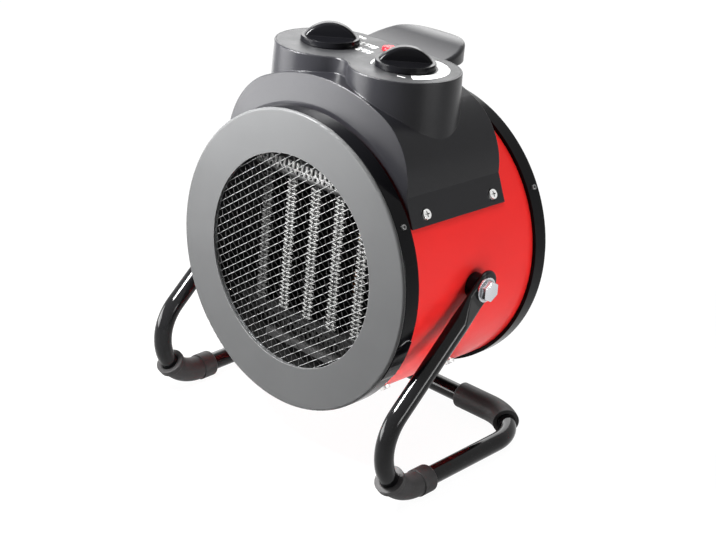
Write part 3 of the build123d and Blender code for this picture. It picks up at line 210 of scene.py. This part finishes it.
SURFACES = {
    # paints
    "red_paint": dict(color=(0.73, 0.020, 0.018), rough=0.36, coat=0.06, coat_rough=0.18,
                      orange=0.03, tone=0.03, edge=0.10, spec=0.12, spread=0.04),
    "black_paint": dict(color=(0.0025, 0.0025, 0.003), rough=0.14, orange=0.05, edge=0.06,
                        spec=0.065, spread=0.03),
    "tube_paint": dict(color=(0.003, 0.003, 0.0033), rough=0.08, orange=0.03, edge=0.06,
                       round_mm=0.8, spec=0.19, spread=0.02),
    # Its light edges are partly rubbed wear and partly a painted highlight.
    "grey_paint": dict(color=(0.041, 0.0415, 0.042), rough=0.36, grain=0.12, edge=0.45,
                       worn_highlight_color=(0.36, 0.36, 0.36), tone=0.04, spec=0.07, spread=0.04,
                       round_mm=0.7),
    "white_print": dict(color=(0.86, 0.86, 0.85), rough=0.5, grain=0.2, tone=0.05, round_mm=0.05),
    # plastics, rubber and ceramic
    "black_plastic": dict(color=(0.006, 0.006, 0.0072), rough=0.29, grain=0.22,
                          grain_scale=1500.0, edge=0.10, round_mm=1.0, spec=0.18, spread=0.012),
    "plate_plastic": dict(color=(0.012, 0.0122, 0.013), rough=0.46, grain=0.35,
                          grain_scale=1800.0, tone=0.10, edge=0.05, spec=0.29),
    "knob_plastic": dict(color=(0.0025, 0.0025, 0.003), rough=0.18, tone=0.1, edge=0.05,
                         round_mm=0.6, spec=0.06, spread=0.03),
    "dark_plastic": dict(color=(0.02, 0.02, 0.021), rough=0.42, grain=0.3, tone=0.15),
    "lead_cover": dict(color=(0.045, 0.045, 0.048), rough=0.45, grain=0.2, tone=0.15,
                       round_mm=0.2),
    "black_rubber": dict(color=(0.012, 0.0112, 0.0115), rough=0.55, grain=0.5, grain_scale=700.0,
                         tone=0.2, spread=0.08, dust=0.03, round_mm=0.8, spec=0.24),
    "ceramic": dict(color=(0.30, 0.29, 0.27), rough=0.6, grain=0.4, tone=0.1, round_mm=0.3),
    # fasteners
    # The fasteners' recesses are darkened as painted shade.
    "zinc": dict(color=(0.80, 0.80, 0.79), rough=0.26, metal=1.0, grain=0.15, spread=0.12,
                 stretch=(1, 1, 6), edge=0.3, round_mm=0.25, hollow_shade=0.96, hollow_shade_mm=1.6),
    # Its bright edges are partly rubbed wear and partly a painted highlight.
    "bolt_steel": dict(color=(0.50, 0.51, 0.53), rough=0.20, metal=1.0, grain=0.2, spread=0.08,
                       tone=0.25, edge=0.5, worn_highlight_color=(0.95, 0.95, 0.95), round_mm=0.4,
                       hollow_shade=0.97, hollow_shade_mm=3.0),
    "black_zinc": dict(color=(0.22, 0.22, 0.22), rough=0.2, metal=0.9, grain=0.1, spread=0.05,
                       tone=0.1, edge=0.3, round_mm=0.2, hollow_shade=0.97, hollow_shade_mm=1.2),
    # wire and sheet metal
    "bright_wire": dict(color=(0.25, 0.25, 0.25), rough=0.30, metal=0.9, spread=0.12,
                        round_mm=0.1),
    # Painted shade: the cross wires are the same wire as the bright ones, made dark.
    "shaded_cross_wire": dict(color=(0.022, 0.022, 0.022), rough=0.5, metal=0.2, tone=0.2, spread=0.1,
                       round_mm=0.1, spec=0.15),
    "sheet_steel": dict(color=(0.20, 0.205, 0.21), rough=0.42, metal=0.8, grain=0.2, tone=0.25,
                        spread=0.12, stretch=(1, 1, 8), round_mm=0.3),
    # Painted shade: the duct and fan shroud inside are made near black.
    "duct_steel_in_shade": dict(color=(0.004, 0.004, 0.004), rough=0.42, metal=0.1, grain=0.2, tone=0.25,
                       spread=0.1, stretch=(1, 8, 1), round_mm=0.3, spec=0.12),
    "bright_steel": dict(color=(0.86, 0.86, 0.86), rough=0.35, metal=0.6, grain=0.15, spread=0.1,
                         round_mm=0.25),
    # Painted shade: the crossbar inside is made dim.
    "dim_steel_in_shade": dict(color=(0.026, 0.026, 0.026), rough=0.5, metal=0.3, grain=0.3, tone=0.3,
                      spread=0.1, round_mm=0.3),
    "bare_aluminium": dict(color=(0.88, 0.88, 0.86), rough=0.40, metal=0.6, grain=0.2, tone=0.15,
                           spread=0.12, round_mm=0.2),
    # Painted shade: the fan, motor and element parts inside are made near black.
    "aluminium_in_shade": dict(color=(0.005, 0.005, 0.005), rough=0.45, metal=0.4, grain=0.2,
                           tone=0.2, spread=0.12, round_mm=0.2, spec=0.2),
    # the motor
    "laminated_steel": dict(color=(0.06, 0.06, 0.063), rough=0.45, metal=0.6, grain=0.5,
                            stretch=(1, 14, 1), tone=0.3, round_mm=0.3),
    "copper": dict(color=(0.12, 0.045, 0.02), rough=0.34, metal=1.0, grain=0.6,
                   stretch=(1, 1, 10), tone=0.2),
    "bronze": dict(color=(0.45, 0.30, 0.14), rough=0.36, metal=1.0, grain=0.2, tone=0.2,
                   round_mm=0.2),
    "shaft_steel": dict(color=(0.5, 0.5, 0.51), rough=0.25, metal=1.0, grain=0.2, tone=0.15,
                        round_mm=0.2),
}
M = {name: surface(name, **values) for name, values in SURFACES.items()}


def lens_material():
    """A red lens with small facets."""
    mat, tree, bsdf = nodes_of("red_lens")
    co = object_coords(tree)
    cells = new(tree, "ShaderNodeTexVoronoi", {"Vector": co, "Scale": 900.0}).outputs["Distance"]
    depth = ramp(tree, cells, [(0.0, 0.0), (0.6, 1.0)])
    feed(tree, bsdf, {
        "Base Color": mix(tree, depth, (0.75, 0.012, 0.02), (0.5, 0.004, 0.008)),
        "Roughness": ramp(tree, noise(tree, co, 300.0), [(0.3, 0.22), (0.7, 0.35)]),
        "Normal": bump(tree, cells, 0.3, 0.0003),
        "Transmission Weight": 0.1,
        "Specular IOR Level": 0.08,
    })
    return mat


def shade_and_glint(name, glint, bright, rough, metal, spec):
    """Metal painted near black as shade, with a painted highlight only where glint(tree,
    coordinates) says so.
    """
    mat, tree, bsdf = nodes_of(name)
    co = object_coords(tree)
    feed(tree, bsdf, {
        "Base Color": mix(tree, glint(tree, co), PAINTED_SHADE_BLACK, bright),
        "Roughness": ramp(tree, noise(tree, co, 240.0, 4.0), [(0.3, rough[0]), (0.7, rough[1])]),
        "Metallic": metal,
        "Specular IOR Level": spec,
    })
    return mat


# A ramp runs from 0 to 1, so that a place in metres is moved to its middle.
RAMP_MIDDLE = 0.5


def fin_glint(tree, co):
    """The fins' cut front edges get a painted highlight, weaker in the column at the left, where
    painted shade falls.
    """
    normal = new(tree, "ShaderNodeNewGeometry").outputs["Normal"]
    forward = math_node(tree, "MULTIPLY", number_of(tree, normal, "Y"), -1.0)
    ahead = ramp(tree, forward, [(0.80, 0.0), (0.95, 1.0)])
    side = math_node(tree, "ADD", number_of(tree, co, "X"), RAMP_MIDDLE)
    # Painted shade: the column at the left is dulled.
    left_shade = ramp(tree, side, [(0.462, 0.30), (0.466, 1.0)])
    patch = ramp(tree, noise(tree, co, 500.0, 3.0), [(0.35, 0.55), (0.6, 1.0)])
    return math_node(tree, "MULTIPLY", math_node(tree, "MULTIPLY", ahead, left_shade), patch)


def rail_glint(tree, co):
    """The upper rail has a painted highlight down to its lowest fold, which is painted dark as
    shade.
    """
    fold = (DRUM.z + RAIL_EDGE) * MM
    height = math_node(tree, "SUBTRACT", number_of(tree, co, "Z"), fold - RAMP_MIDDLE)
    lit = ramp(tree, height, [(0.4985, 0.02), (0.5002, 1.0)])
    patch = ramp(tree, noise(tree, co, 600.0, 3.0), [(0.35, 0.6), (0.6, 1.0)])
    return math_node(tree, "MULTIPLY", lit, patch)


# The fins and the upper rail are painted dark as shade, with painted highlights where they catch
# light.
M["red_lens"] = lens_material()
M["fin_glint_and_shade"] = shade_and_glint("fin_glint_and_shade", fin_glint, (0.21, 0.21, 0.206), (0.38, 0.6),
                              metal=0.2, spec=0.2)
M["rail_glint_and_shade"] = shade_and_glint("rail_glint_and_shade", rail_glint, (0.38, 0.38, 0.375), (0.3, 0.5),
                           metal=0.5, spec=0.3)

# A node wears its slot's material, except these, listed by the material that they wear instead.
SLOT = {s["node"]: s["material_slot"] for s in frame["record"]["subparts"]}
OTHER_LOOKS = {
    "tube_paint": ["stand_tube"],
    "bolt_steel": ["pivot_bolt_left", "pivot_bolt_right"],
    "black_zinc": ["small_screws"],
    # Painted shade: parts inside the heater wear these dark finishes.
    "duct_steel_in_shade": ["air_duct", "fan_shroud", "motor_spider"],
    "rail_glint_and_shade": ["element_rail_upper"],
    "dim_steel_in_shade": ["element_crossbar"],
    "aluminium_in_shade": ["fan_wheel", "motor_stator", "motor_bridges", "element_rail_lower",
                       "element_insulators", "heating_stones"]
                      + [f"heating_tube_{i}" for i in range(1, 6)],
}
OVERRIDE = {node: look for look, nodes in OTHER_LOOKS.items() for node in nodes}
for name, obj in NODES.items():
    mat = M[OVERRIDE.get(name, SLOT[name])]
    if len(obj.material_slots) == 0:
        obj.data.materials.append(mat)
    for slot in obj.material_slots:
        slot.material = mat


# ------------------------------------------------------------------ mesh helpers
WIRE_SIDES = 6
BLOCK_FACES = ((0, 1, 2, 3), (7, 6, 5, 4), (0, 4, 5, 1), (1, 5, 6, 2), (2, 6, 7, 3), (3, 7, 4, 0))


def place(name, data):
    """A new object in the scene."""
    obj = bpy.data.objects.new(name, data)
    bpy.context.scene.collection.objects.link(obj)
    return obj


def mesh_data(name, verts, faces, mat):
    """A new mesh with one material."""
    mesh = bpy.data.meshes.new(name)
    mesh.from_pydata([tuple(v) for v in verts], [], faces)
    mesh.update()
    mesh.materials.append(mat)
    return mesh


def mesh_object(name, verts, faces, mat, body, smooth=True):
    """A piece of the scene that rides a body."""
    mesh = mesh_data(name, verts, faces, mat)
    for face in mesh.polygons:
        face.use_smooth = smooth
    obj = place(name, mesh)
    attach(obj, body)
    return obj


def add_wire(path, radius, verts, faces):
    """Adds a round wire with closed ends along a path of points."""
    last = len(path) - 1
    rings = []
    side = None
    for i, point in enumerate(path):
        along = (path[min(i + 1, last)] - path[max(i - 1, 0)]).normalized()
        if side is None:
            side = along.orthogonal().normalized()
        side = (side - along * side.dot(along)).normalized()
        across = along.cross(side)
        rings.append(len(verts))
        for k in range(WIRE_SIDES):
            t = 2 * math.pi * k / WIRE_SIDES
            verts.append(point + (side * math.cos(t) + across * math.sin(t)) * radius)
    for a, b in zip(rings, rings[1:]):
        for k in range(WIRE_SIDES):
            j = (k + 1) % WIRE_SIDES
            faces.append((a + k, a + j, b + j, b + k))
    faces.append(tuple(rings[0] + k for k in reversed(range(WIRE_SIDES))))
    faces.append(tuple(rings[-1] + k for k in range(WIRE_SIDES)))


def add_block(start, end, thick, front, rear, verts, faces):
    """Adds a slanted strip between two (x, z) points of the drum's frame, from front to rear."""
    (x0, z0), (x1, z1) = start, end
    base = len(verts)
    for y in (front, rear):
        verts.extend([at(x0, y, z0), at(x1, y, z1), at(x1, y, z1 + thick), at(x0, y, z0 + thick)])
    for quad in BLOCK_FACES:
        faces.append(tuple(base + k for k in quad))


# ------------------------------------------------------------------ woven outlet mesh
def woven_mesh():
    """Straight bright wires one way, and thin wires woven through them the other way, darkened as
    painted shade.
    """
    pitch, reach, turn = 5.0, 83.2, math.radians(35.6)
    points_per_pitch = 4
    rows = int(reach / pitch) + 1
    # The second family of wires is darkened as painted shade.
    for name, way, radius, swing, look in (("mesh_wires", 0, 0.26, 0.12, "bright_wire"),
                                           ("mesh_cross_wires", 1, 0.20, 0.45, "shaded_cross_wire")):
        verts, faces = [], []
        for i in range(-rows, rows + 1):
            off = i * pitch
            if abs(off) >= reach - 1:
                continue
            half = math.sqrt(reach**2 - off**2)
            steps = max(6, int(2 * half / pitch * points_per_pitch))
            path = []
            for s in range(steps + 1):
                u = -half + 2 * half * s / steps
                lift = swing * math.cos(math.pi * u / pitch + math.pi * (i + way))
                x, z = (u, off) if way == 0 else (off, u)
                path.append(at(x * math.cos(turn) - z * math.sin(turn), MESH_DEPTH + lift,
                               x * math.sin(turn) + z * math.cos(turn)))
            add_wire(path, radius * MM, verts, faces)
        o = mesh_object(name, verts, faces, M[look], "heater")
        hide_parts("outlet_mesh")


woven_mesh()


# ------------------------------------------------------------------ folded fins
def folded_fins():
    """Closely folded fins each side of every tube, seen end on as two rows of slanted edges."""
    front, depth, half, pitch = -52.0, 16.0, 49.8, 3.0
    columns, column_pitch = 5, 23.5
    sheet, rolled = 0.32, 0.95  # heights of a fin's sheet and of the end rolled over at a fold
    verts, faces = [], []
    for i in range(columns):
        column = (i - columns // 2) * column_pitch
        for hand in (1, -1):
            near, far = column + hand * 1.45, column + hand * 4.9
            z = -half
            while z + pitch <= half:
                for low, high in ((z, z + pitch / 2), (z + pitch, z + pitch / 2)):
                    add_block((near, low), (far, high), sheet, front, front + depth, verts, faces)
                start = (column + hand * 0.35, z + pitch * 0.25)
                end = (far - hand, z + pitch * 0.60)
                add_block(start, end, rolled, front - 0.35, front, verts, faces)
                z += pitch
    o = mesh_object("folded_fins", verts, faces, M["fin_glint_and_shade"], "heater", smooth=False)
    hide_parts("fin_strips")


folded_fins()


# ------------------------------------------------------------------ prints on the control plate
PRINT_HEIGHT = DECK + 0.06
PRINT_THICKNESS = 0.05 * MM


def wedge_print(cx, cy, inner, outer, start, end, verts, faces):
    """A flat print: part of a ring that grows to its full width over its first half and a bit."""
    steps, thin, grown = 72, 0.12, 0.55
    base = len(verts)
    for s in range(steps + 1):
        f = s / steps
        a = math.radians(start + (end - start) * f)
        width = (outer - inner) * (thin + (1 - thin) * min(1.0, f / grown)**1.5)
        for r in (inner, inner + width):
            verts.append(at(cx + r * math.cos(a), cy + r * math.sin(a), PRINT_HEIGHT))
    for s in range(steps):
        k = base + 2 * s
        faces.append((k, k + 1, k + 3, k + 2))


def poly_print(points, verts, faces):
    """A flat print with an outline of (x, y) points."""
    base = len(verts)
    verts.extend(at(x, y, PRINT_HEIGHT) for x, y in points)
    faces.append(tuple(range(base, base + len(points))))


def blade(cx, cy, turn):
    """The outline of one fan blade whose root is at a centre."""
    length, width, count = 4.2, 1.5, 12
    points = []
    for s in range(count):
        t = math.pi * 2 * s / count
        x = length * 0.56 + length * 0.44 * math.cos(t)
        y = width * (math.sin(t) + 0.35 * math.sin(t * 2))
        points.append((cx + x * math.cos(turn) - y * math.sin(turn),
                       cy + x * math.sin(turn) + y * math.cos(turn)))
    return points


def wave(cx, cy):
    """The outline of one wavy heat stroke."""
    tall, swing, thick, steps = 6.0, 0.7, 1.9, 8
    line = [(cx + swing * math.sin(2 * math.pi * k / steps) - thick / 2,
             cy - tall / 2 + tall * k / steps) for k in range(steps + 1)]
    return line + [(x + thick, y) for x, y in reversed(line)]


def plate_prints():
    """The scale round the thermostat knob and the marks beside the selector knob."""
    verts, faces = [], []
    # A wedge, thin at the knob's cool end and thick at its hot end, and a small dash.
    wedge_print(35.5, -12.4, 22.4, 30.4, 222.0, -38.0, verts, faces)
    poly_print([(47.8, -34.2), (54.0, -32.9), (53.9, -32.2), (47.7, -33.5)], verts, faces)
    # A fan, a fan with three heat strokes and a fan with two.
    for x, y, strokes in ((-32.6, 15.8, ()),
                          (-20.6, 5.9, (-15.8, -12.2, -8.6)),
                          (-11.4, -6.8, (-5.6, -1.6))):
        for k in range(3):
            poly_print(blade(x, y, math.radians(120 * k + 20)), verts, faces)
        for stroke in strokes:
            poly_print(wave(stroke, y - 0.8), verts, faces)
    o = mesh_object("plate_prints", verts, faces, M["white_print"], "heater", smooth=False)
    o.modifiers.new("thickness", "SOLIDIFY").thickness = PRINT_THICKNESS


plate_prints()


# ------------------------------------------------------------------ the front band's overlapped end
def band_end():
    """The front band's outer end lies over its start: a thin flap with a pointed, cut edge."""
    radius, front, rear = 107.53, -72.4, -59.9
    thick, thin_end = 0.6, 0.2  # the flap thins to this share of its thickness at its far end
    first, reach = -12.0, 20.0  # the cut edge and the flap's length, in degrees
    point, point_at = 2.6, 0.62  # how far the edge runs out, in degrees, and where over the width
    steps, across = 10, 5
    verts, faces = [], []
    for layer in (0.0, thick):
        for k in range(steps + 1):
            r = radius + layer * (thin_end if k == steps else 1.0)
            for c in range(across):
                f = c / (across - 1)
                cut_back = point * abs(f - point_at) / point_at if k == 0 else 0.0
                a = math.radians(first - reach * k / steps - cut_back)
                verts.append(at(r * math.cos(a), front + (rear - front) * f, r * math.sin(a)))
    count = (steps + 1) * across
    for k in range(steps):
        for a in range(k * across, k * across + across - 1):
            b = a + across
            faces.append((a, b, b + 1, a + 1))
            faces.append((count + a, count + a + 1, count + b + 1, count + b))
    for k in range(steps):
        for a in (k * across, k * across + across - 1):
            b = a + across
            faces.append((a, b, count + b, count + a))
    cut_face = len(faces)
    for edge in (0, steps * across):
        for a in range(edge, edge + across - 1):
            faces.append((a, a + 1, count + a + 1, count + a))
    o = mesh_object("front_band_end", verts, faces, M["black_paint"], "heater", smooth=False)
    o.data.materials.append(M["bright_steel"])
    for face in o.data.polygons[cut_face:cut_face + across - 1]:
        face.material_index = 1


band_end()


# ------------------------------------------------------------------ camera
def camera():
    """The camera that was solved from the photograph's outlines."""
    photo_width, sensor = 716, 36.0
    focal = 1684.58  # in pixels of the photograph
    azimuth, elevation, roll = math.radians(42.22), math.radians(23.96), math.radians(3.57)
    distance, shift_x, shift_y, aim_z = 1221.27, 2.47, 11.87, 128.9
    back = Vector((math.sin(azimuth) * math.cos(elevation),
                   -math.cos(azimuth) * math.cos(elevation), math.sin(elevation)))
    right = Vector((math.cos(azimuth), math.sin(azimuth), 0))
    up = back.cross(right)
    cam_x = right * math.cos(roll) + up * math.sin(roll)
    cam_y = -right * math.sin(roll) + up * math.cos(roll)
    eye = (Vector((0, 0, aim_z)) + back * distance - cam_x * shift_x - cam_y * shift_y
           + Vector((0, PIVOT.y, 0)))
    data = bpy.data.cameras.new("camera")
    data.sensor_width = sensor
    data.lens = focal / photo_width * sensor
    data.clip_start = 0.01
    data.clip_end = 50
    cam = place("camera", data)
    pose = Matrix((cam_x, cam_y, back)).transposed().to_4x4()
    pose.translation = eye * MM
    cam.matrix_world = pose
    bpy.context.scene.camera = cam


camera()
bpy.context.scene.view_settings.view_transform = "Standard"


# ------------------------------------------------------------------ floor, backdrop, light
def direct_rays(tree):
    """1 for the rays of the camera, gloss and glass, and 0 for those that light the object."""
    path = new(tree, "ShaderNodeLightPath")
    seen = math_node(tree, "ADD", path.outputs["Is Camera Ray"], path.outputs["Is Glossy Ray"])
    seen = math_node(tree, "ADD", seen, path.outputs["Is Transmission Ray"])
    return math_node(tree, "MINIMUM", seen, 1.0)


def floor():
    """A pale floor that keeps a share of the object's shadow and looks white otherwise."""
    size, white_share = 9.0, 0.90
    mat, tree, bsdf = nodes_of("studio_floor")
    cloud = noise(tree, object_coords(tree), 3.0)
    feed(tree, bsdf, {
        "Base Color": mix(tree, cloud, (0.61, 0.61, 0.61), (0.64, 0.64, 0.64)),
        "Roughness": 0.9,
        "Specular IOR Level": 0.1,
    })
    white = new(tree, "ShaderNodeEmission", {"Color": (1, 1, 1, 1), "Strength": 1.07})
    blend = new(tree, "ShaderNodeMixShader", {
        "Fac": math_node(tree, "MULTIPLY", direct_rays(tree), white_share),
        1: bsdf.outputs["BSDF"],
        2: white.outputs["Emission"],
    })
    feed(tree, tree.nodes["Material Output"], {"Surface": blend.outputs["Shader"]})
    corners = [(-size, -size, 0), (size, -size, 0), (size, size, 0), (-size, size, 0)]
    o = place("floor", mesh_data("floor", corners, [(0, 1, 2, 3)], mat))


floor()


def world():
    """A dim room for the object, and white where the camera, gloss and glass look past it."""
    studio = bpy.data.worlds.new("studio")
    bpy.context.scene.world = studio
    studio.use_nodes = True
    tree = studio.node_tree
    shade = mix(tree, direct_rays(tree), (0.12, 0.12, 0.125), (1.0, 1.0, 1.0))
    feed(tree, tree.nodes["Background"], {"Color": shade, "Strength": 1.0})


world()


def area(name, loc, target, size, watts):
    """A rectangular lamp at a place that faces a target, both in metres."""
    data = bpy.data.lights.new(name, "AREA")
    data.shape = "RECTANGLE"
    data.size, data.size_y = size
    data.energy = watts
    o = place(name, data)
    o.location = loc
    o.rotation_euler = (Vector(target) - Vector(loc)).to_track_quat("-Z", "Y").to_euler()
    return o


# Low soft boxes stand ahead on the left and to the right, where the gloss parts mirror them, and a
# small lamp close above the front makes the face ring fall off from its top to its foot.
area("key_left", (-1.02, -0.80, 0.22), (-0.02, -0.04, 0.15), (0.95, 0.42), 20)
area("key_right", (1.47, 0.28, 0.24), (0.05, 0, 0.13), (0.90, 0.20), 10.5)
area("near_top", (-0.13, -0.24, 0.43), (0.0, -0.07, 0.16), (0.12, 0.12), 11.5)
# A weak lamp low on the left grazes the tower. It could come into view, so the camera skips it.
low_left = area("low_left", (-0.56, 0.26, 0.10), (-0.05, -0.03, 0.26), (0.36, 0.26), 0.5)
low_left.visible_camera = False
# Large lamps overhead and behind on the left light the upper faces.
area("top", (0.2, 0.1, 2.2), (0, 0, 0.14), (1.2, 1.2), 26)
area("sheen", (-1.07, 1.25, 0.88), (0, 0, 0.26), (1.5, 0.9), 14)
